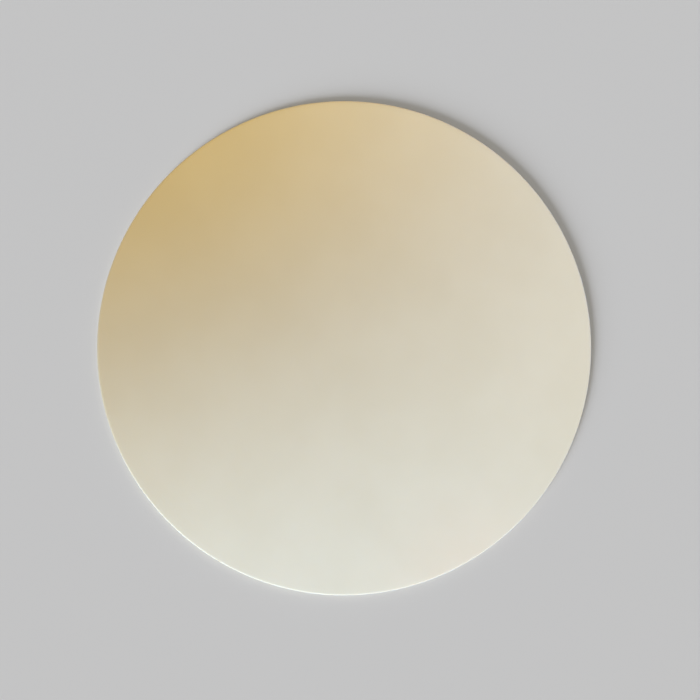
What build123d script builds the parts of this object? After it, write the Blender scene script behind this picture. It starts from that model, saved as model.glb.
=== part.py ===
from build123d import *
import os

# Circle template: one flat round blank of stiff plastic sheet. A pencil or a knife runs round its rim.
# It lies on its underside. The origin is the centre of the underside, and +Z points out of the top face.
# All sizes are in millimetres.

# Driving dimensions
template_diameter = 277.0
sheet_thickness = 3.0
edge_rounding = 1.25


def round_blank():
    """The sheet cut to a full circle, standing on the XY plane."""
    return extrude(Circle(template_diameter / 2), amount=sheet_thickness)


def ease_edges(blank):
    """Rounds the sharp corner between the rim and each face, so that it doesn't snag paper or fingers."""
    corners = blank.edges().filter_by(GeomType.CIRCLE)
    return fillet(corners, edge_rounding)


def template_disc():
    """The finished template, with an upright rim between its two rounded corners."""
    disc = ease_edges(round_blank())
    disc.label = "template_disc"
    return disc


os.makedirs("parts", exist_ok=True)
export_step(template_disc(), "parts/template_disc.step")
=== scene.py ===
import math
import bmesh
import bpy
import numpy as np
from mathutils import Matrix, Vector, noise


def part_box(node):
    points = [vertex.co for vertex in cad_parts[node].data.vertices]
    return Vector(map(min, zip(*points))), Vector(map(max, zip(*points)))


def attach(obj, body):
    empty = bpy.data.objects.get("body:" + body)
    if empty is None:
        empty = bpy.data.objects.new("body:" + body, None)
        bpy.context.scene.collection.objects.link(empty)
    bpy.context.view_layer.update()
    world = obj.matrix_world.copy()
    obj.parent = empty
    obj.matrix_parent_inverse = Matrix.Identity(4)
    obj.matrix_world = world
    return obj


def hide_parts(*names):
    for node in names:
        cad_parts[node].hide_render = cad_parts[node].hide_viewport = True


# A circle template: one round sheet of cream satin plastic, lying on a pale studio floor.
# Metres, +Z up, origin at the centre of the underside. +Y is the top of the picture.
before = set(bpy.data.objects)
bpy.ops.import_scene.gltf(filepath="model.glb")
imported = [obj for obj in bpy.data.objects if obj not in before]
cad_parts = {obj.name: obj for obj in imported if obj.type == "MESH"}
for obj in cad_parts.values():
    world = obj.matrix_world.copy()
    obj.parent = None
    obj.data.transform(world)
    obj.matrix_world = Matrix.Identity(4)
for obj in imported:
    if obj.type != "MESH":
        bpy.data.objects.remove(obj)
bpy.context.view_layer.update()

mm = 0.001

# Sizes of the template, read from the frame
sheet_low, sheet_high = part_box("template_disc")
outer_radius = (sheet_high.x - sheet_low.x) / 2
thickness = sheet_high.z - sheet_low.z

# Shape of the rim: a rounded corner that eases into the flat face over a few millimetres
corner_radius = 1.25 * mm
roll_off_radius = 60 * mm
roll_off_turn = math.radians(1.9)
corner_steps = 18
fine_steps = 40  # steps of the sum from each corner step to the next
crowding = 1.6  # above 1, the corner's steps crowd towards the flat face

# Mesh density, and how far the top face strays from flat
face_cells = 144
waviness = 0.03 * mm
wave_length = 70 * mm

# Camera: close above the template, a little to the left of its centre, and tilted by under four degrees
camera_place = Vector((-22.6, 15.5, 415.5)) * mm
camera_aim = Vector((0.84, 0.58, 0)) * mm
lens_mm = 38.06
sensor_mm = 36.0
nearest_seen = 10 * mm

# The room: the light that fills every shadow, and what shows behind the floor
room_light = (0.10, 0.096, 0.087)
backdrop_grey = (0.55, 0.55, 0.552)

# Studio gear, in metres
floor_radius = 12.0
floor_sides = 96
window_distance = 1.2
spot_bulb = 0.03

# Socket numbers of Blender's mix node when it mixes colours: share, first and second colour, and result
mix_share, mix_first, mix_second, mix_result = 0, 6, 7, 2


# ---------------------------------------------------------------- mesh

def round_grid(cells, radius):
    """A square grid bent into a circle, as (x, y) arrays. All its faces are quads: no pole in the middle."""
    side = np.linspace(-1, 1, cells + 1)
    u, v = np.meshgrid(side, side)
    wide = np.abs(u) >= np.abs(v)
    reach = np.where(wide, u, v)
    share = np.divide(np.where(wide, v, u), reach, out=np.zeros_like(reach), where=reach != 0)
    angle = np.where(wide, share, 2 - share) * math.pi / 4
    return radius * reach * np.cos(angle), radius * reach * np.sin(angle)


def grid_outline(cells):
    """The grid's outline as point numbers, counter-clockwise from the corner at -X -Y."""
    row = cells + 1
    bottom = list(range(cells))
    right = [i * row + cells for i in range(cells)]
    top = [cells * row + i for i in range(cells, 0, -1)]
    left = [i * row for i in range(cells, 0, -1)]
    return bottom + right + top + left


def corner_profile():
    """The rim from the flat face down to the upright wall, as (distance in from the rim, depth).

    The curve's radius shrinks from roll_off_radius to corner_radius within the first degrees of its turn.
    """
    turns = np.linspace(0, 1, corner_steps * fine_steps + 1) ** crowding * math.pi / 2
    radii = corner_radius + (roll_off_radius - corner_radius) * np.exp(-turns / roll_off_turn)
    middle = (radii[1:] + radii[:-1]) / 2
    step = np.diff(turns)
    heading = (turns[1:] + turns[:-1]) / 2
    out = np.concatenate(([0], np.cumsum(middle * np.cos(heading) * step)))
    down = np.concatenate(([0], np.cumsum(middle * np.sin(heading) * step)))
    kept = slice(0, None, fine_steps)
    return list(zip((out[-1] - out)[kept], down[kept]))


def rim_levels(profile):
    """The rings between the two flat faces, from the top down, as (distance in from the rim, height)."""
    upper = [(inset, thickness - depth) for inset, depth in profile[1:]]
    lower = [(inset, depth) for inset, depth in reversed(profile[1:])]
    return upper + lower


def add_waviness(point):
    """Raises a point of the sheet by its slight unevenness, which grows from nothing at the underside."""
    share = point.z / thickness
    point.z += waviness * share * noise.noise(Vector((point.x, point.y, 0)) / wave_length)


def sheet_points(profile):
    """The points of the top face, the underside and the rim's rings, and each ring as point numbers."""
    gx, gy = round_grid(face_cells, outer_radius - profile[0][0])
    gx, gy = gx.ravel(), gy.ravel()
    outline = grid_outline(face_cells)
    angles = np.arctan2(gy[outline], gx[outline])
    points = [(x, y, thickness) for x, y in zip(gx, gy)]
    points += [(x, y, 0.0) for x, y in zip(gx, gy)]
    rings = [outline]
    for inset, height in rim_levels(profile):
        radius = outer_radius - inset
        rings.append([len(points) + i for i in range(len(outline))])
        points += [(radius * math.cos(a), radius * math.sin(a), height) for a in angles]
    rings.append([number + gx.size for number in outline])
    return points, rings


def flat_faces():
    """The quads of the top face and, wound the other way, of the underside."""
    row = face_cells + 1
    faces = []
    for j in range(face_cells):
        for i in range(face_cells):
            corner = j * row + i
            quad = (corner, corner + 1, corner + row + 1, corner + row)
            faces.append(quad)
            faces.append(tuple(number + row * row for number in reversed(quad)))
    return faces


def rim_faces(rings):
    """The quads from each ring down to the next."""
    faces = []
    for upper, below in zip(rings, rings[1:]):
        for i in range(len(upper)):
            k = (i + 1) % len(upper)
            faces.append((upper[i], below[i], below[k], upper[k]))
    return faces


def template_mesh():
    """The whole sheet as one closed mesh: top face, rounded corner, wall, rounded corner, underside."""
    points, rings = sheet_points(corner_profile())
    mesh = bpy.data.meshes.new("template_sheet")
    mesh.from_pydata(points, [], flat_faces() + rim_faces(rings))
    for vertex in mesh.vertices:
        add_waviness(vertex.co)
    mesh.polygons.foreach_set("use_smooth", [True] * len(mesh.polygons))
    mesh.validate()
    mesh.update()
    return mesh


# ---------------------------------------------------------------- materials

class Nodes:
    """Shorthand for building one node material."""

    def __init__(self, name):
        self.material = bpy.data.materials.new(name)
        self.material.use_nodes = True
        self.tree = self.material.node_tree
        self.shader = self.tree.nodes["Principled BSDF"]
        self.place = self.add("ShaderNodeTexCoord").outputs["Object"]

    def add(self, kind, **settings):
        node = self.tree.nodes.new(kind)
        for key, value in settings.items():
            setattr(node, key, value)
        return node

    def feed(self, socket, value):
        if isinstance(value, bpy.types.NodeSocket):
            self.tree.links.new(value, socket)
        else:
            socket.default_value = value

    def set(self, **inputs):
        """Feeds the shader's inputs. An underscore in a name stands for a space."""
        for name, value in inputs.items():
            self.feed(self.shader.inputs[name.replace("_", " ")], value)

    def maths(self, operation, *values):
        node = self.add("ShaderNodeMath", operation=operation)
        for socket, value in zip(node.inputs, values):
            self.feed(socket, value)
        return node.outputs[0]

    def stretch(self, where, factors):
        node = self.add("ShaderNodeVectorMath", operation="MULTIPLY")
        self.feed(node.inputs[0], where)
        self.feed(node.inputs[1], factors)
        return node.outputs[0]

    def noise(self, where, scale, detail, roughness=0.5):
        node = self.add("ShaderNodeTexNoise")
        self.feed(node.inputs["Vector"], where)
        self.feed(node.inputs["Scale"], scale)
        self.feed(node.inputs["Detail"], detail)
        self.feed(node.inputs["Roughness"], roughness)
        return node.outputs["Fac"]

    def blend(self, share, first, second):
        """The first colour where share is 0, the second where it is 1."""
        node = self.add("ShaderNodeMix", data_type="RGBA")
        self.feed(node.inputs[mix_share], share)
        self.feed(node.inputs[mix_first], first)
        self.feed(node.inputs[mix_second], second)
        return node.outputs[mix_result]

    def span(self, value, low, high):
        """Rises smoothly from 0 at low to 1 at high."""
        node = self.add("ShaderNodeMapRange", interpolation_type="SMOOTHSTEP")
        for socket, number in zip(node.inputs, (value, low, high)):
            self.feed(socket, number)
        return node.outputs[0]

    def relief(self, height, strength, depth, under=None):
        node = self.add("ShaderNodeBump")
        self.feed(node.inputs["Height"], height)
        self.feed(node.inputs["Strength"], strength)
        self.feed(node.inputs["Distance"], depth)
        if under:
            self.feed(node.inputs["Normal"], under)
        return node.outputs[0]

    def distance_from_axis(self):
        parts = self.add("ShaderNodeSeparateXYZ")
        self.feed(parts.inputs[0], self.place)
        x, y, _ = parts.outputs
        square = self.maths("ADD", self.maths("MULTIPLY", x, x), self.maths("MULTIPLY", y, y))
        return self.maths("SQRT", square)


def cream_plastic():
    """Satin cream sheet plastic: faint mottling, a paler rim band that is partly a painted highlight along
    the rounded rim and partly the cut edge's paler tone, soft smudges and a fine grain.
    """
    n = Nodes("cream_plastic")
    # The rim band, where the paler rim colour (partly a painted highlight) and the cutter lines go
    rim_band_from = outer_radius - 1.2 * mm
    rim_band_full = outer_radius - 0.2 * mm
    at_rim = n.span(n.distance_from_axis(), low=rim_band_from, high=rim_band_full)

    # Colour: two close creams in soft clouds, and a paler rim band: partly the cut and eased edge's paler
    # tone, partly a painted highlight that brightens the line along the rounded rim
    cream = (0.750, 0.671, 0.471, 1)
    deeper_cream = (0.730, 0.649, 0.449, 1)
    # The paler rim colour is partly a painted highlight along the rounded rim
    cut_edge_and_highlight = (0.762, 0.692, 0.522, 1)
    clouds = n.span(n.noise(n.place, scale=22, detail=3.0), low=0.3, high=0.7)
    n.set(Base_Color=n.blend(at_rim, n.blend(clouds, cream, deeper_cream), cut_edge_and_highlight))

    # Finish: satin, a little glossier in broad soft smudges from handling
    satin = 0.44
    gloss_gain = 0.05
    smudges = n.span(n.noise(n.place, scale=38, detail=4.0, roughness=0.6), low=0.52, high=0.78)
    n.set(Roughness=n.maths("SUBTRACT", satin, n.maths("MULTIPLY", smudges, gloss_gain)), IOR=1.49)

    # Depth: light sinks in by about a millimetre
    n.set(Subsurface_Weight=0.08, Subsurface_Radius=(1.2, 0.9, 0.6), Subsurface_Scale=mm)

    # Relief: a fine grain over the whole sheet, and the cutter's shallow lines running round the rim
    grain = n.relief(n.noise(n.place, scale=1600, detail=2.0), strength=0.25, depth=0.02 * mm)
    line_stretch = (60, 60, 2600)
    lines = n.noise(n.stretch(n.place, line_stretch), scale=1.0, detail=3.0)
    cutter_lines = n.maths("MULTIPLY", lines, at_rim)
    n.set(Normal=n.relief(cutter_lines, strength=0.3, depth=0.03 * mm, under=grain))
    return n.material


def pale_floor():
    """Plain pale matte floor with the faintest unevenness."""
    n = Nodes("pale_floor")
    light = (0.675, 0.675, 0.675, 1)
    dark = (0.665, 0.665, 0.665, 1)
    unevenness = n.noise(n.place, scale=6.0, detail=4.0)
    n.set(Base_Color=n.blend(unevenness, light, dark), Roughness=0.9, Specular_IOR_Level=0.0)
    return n.material


# ---------------------------------------------------------------- stage

def add_to_scene(obj):
    bpy.context.scene.collection.objects.link(obj)
    return obj


def floor():
    """A round flat floor, wide enough to reach the horizon from any side."""
    mesh = bmesh.new()
    turns = [2 * math.pi * k / floor_sides for k in range(floor_sides)]
    corners = [(floor_radius * math.cos(a), floor_radius * math.sin(a), 0) for a in turns]
    mesh.faces.new([mesh.verts.new(corner) for corner in corners])
    data = bpy.data.meshes.new("floor")
    mesh.to_mesh(data)
    mesh.free()
    data.materials.append(pale_floor())
    return add_to_scene(bpy.data.objects.new("floor", data))


def towards(side):
    """The direction towards a light. A side is (azimuth, elevation) in degrees.

    Azimuth is counter-clockwise from +X.
    """
    azimuth, elevation = (math.radians(angle) for angle in side)
    level = math.cos(elevation)
    return Vector((math.cos(azimuth) * level, math.sin(azimuth) * level, math.sin(elevation)))


def lamp(target, data, back, where):
    """Places a light that faces along -back, and lets it light the target's collection and nothing else."""
    obj = bpy.data.objects.new(data.name, data)
    obj.location = where
    obj.rotation_mode = "QUATERNION"
    obj.rotation_quaternion = back.to_track_quat("Z", "Y")
    obj.visible_camera = False
    obj.light_linking.receiver_collection = target
    return add_to_scene(obj)


def window(target, name, side, size, colour, watts):
    """A rectangular soft light that faces the origin."""
    data = bpy.data.lights.new(name, "AREA")
    data.shape = "RECTANGLE"
    data.size, data.size_y = size
    data.color = colour
    data.energy = watts
    back = towards(side)
    return lamp(target, data, back, back * window_distance)


def spot(target, name, where, aim, reach, colour, watts):
    """A round soft light that fades out steadily from its aim point to reach, measured across its beam."""
    data = bpy.data.lights.new(name, "SPOT")
    data.shadow_soft_size = spot_bulb
    data.color = colour
    data.energy = watts
    back = Vector(where) - Vector(aim)
    data.spot_size = 2 * math.atan(reach / back.length)
    data.spot_blend = 1.0
    return lamp(target, data, back.normalized(), Vector(where))


def wash(target, name, side, softness, colour, strength):
    """A soft light so far away that it is the same everywhere. Softness is how wide it looks, in degrees."""
    data = bpy.data.lights.new(name, "SUN")
    data.angle = math.radians(softness)
    data.color = colour
    data.energy = strength
    back = towards(side)
    return lamp(target, data, back, back)


def group(name, obj):
    collection = bpy.data.collections.new(name)
    collection.objects.link(obj)
    return collection


def light_template(piece):
    """Two low windows draw a line along the rim, and soft lamps above grade the face.

    The face runs from warm at its upper left to cool at its lower right, with a faint rose tint at the
    lower right rim. Only the left window is reflected.
    """
    target = group("lit_piece", piece)
    window(target, "window_left", side=(224, 16), size=(0.55, 0.3), colour=(0.80, 0.94, 1.0), watts=7.0)
    unreflected = [
        window(target, "window_front", side=(286, 12), size=(0.9, 0.3), colour=(0.90, 0.97, 1.0), watts=6.4),
        wash(target, "warm_wash", side=(90, 75), softness=40, colour=(1.0, 0.66, 0.195), strength=1.17),
        spot(target, "warm_top", where=(-0.139, 0.400, 1.0), aim=(-0.139, 0.400, 0), reach=0.43,
             colour=(1.0, 0.705, 0.075), watts=16.8),
        spot(target, "cool_low", where=(-0.071, -0.627, 1.0), aim=(-0.026, -0.254, 0), reach=0.316,
             colour=(0.30, 0.52, 1.0), watts=58.6),
        spot(target, "cool_right", where=(0.564, 0.235, 1.0), aim=(0.400, 0.185, 0), reach=0.486,
             colour=(0.41, 0.587, 1.0), watts=64.8),
        spot(target, "rose_edge", where=(0.072, -0.139, 1.0), aim=(0.072, -0.139, 0), reach=0.058,
             colour=(1.0, 0.44, 0.50), watts=3.3),
    ]
    for light in unreflected:
        light.visible_glossy = False


def light_floor(ground):
    """A low cool wash throws the template's wide soft shadow to the upper right; a warm one fills it."""
    target = group("lit_ground", ground)
    wash(target, "floor_side_wash", side=(228, 18), softness=30, colour=(0.896, 0.93, 1.0), strength=4.8)
    wash(target, "floor_top_wash", side=(228, 80), softness=60, colour=(1.0, 0.96, 0.89), strength=0.95)


def surroundings():
    """The room: soft warm light on what it holds, and a backdrop of the same pale grey as the lit floor."""
    world = bpy.data.worlds.new("room")
    world.use_nodes = True
    tree = world.node_tree
    path = tree.nodes.new("ShaderNodeLightPath")
    mix = tree.nodes.new("ShaderNodeMix")
    mix.data_type = "RGBA"
    tree.links.new(path.outputs["Is Diffuse Ray"], mix.inputs[mix_share])
    mix.inputs[mix_first].default_value = (*backdrop_grey, 1)
    mix.inputs[mix_second].default_value = (*room_light, 1)
    tree.links.new(mix.outputs[mix_result], tree.nodes["Background"].inputs["Color"])
    bpy.context.scene.world = world
    bpy.context.scene.view_settings.view_transform = "Standard"


def looking(direction, up):
    """The rotation of a camera that looks along direction, with up towards the top of the picture."""
    back = -direction.normalized()
    right = up.cross(back).normalized()
    return Matrix((right, back.cross(right), back)).transposed().to_quaternion()


def camera():
    data = bpy.data.cameras.new("camera")
    data.sensor_width = sensor_mm
    data.lens = lens_mm
    data.clip_start = nearest_seen
    obj = add_to_scene(bpy.data.objects.new("camera", data))
    obj.location = camera_place
    obj.rotation_mode = "QUATERNION"
    obj.rotation_quaternion = looking(camera_aim - camera_place, Vector((0, 1, 0)))
    bpy.context.scene.camera = obj


def template():
    mesh = template_mesh()
    mesh.materials.append(cream_plastic())
    piece = add_to_scene(bpy.data.objects.new("template_sheet", mesh))
    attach(piece, "root")
    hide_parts("template_disc")
    return piece


disc = template()
ground = floor()
light_template(disc)
light_floor(ground)
surroundings()
camera()
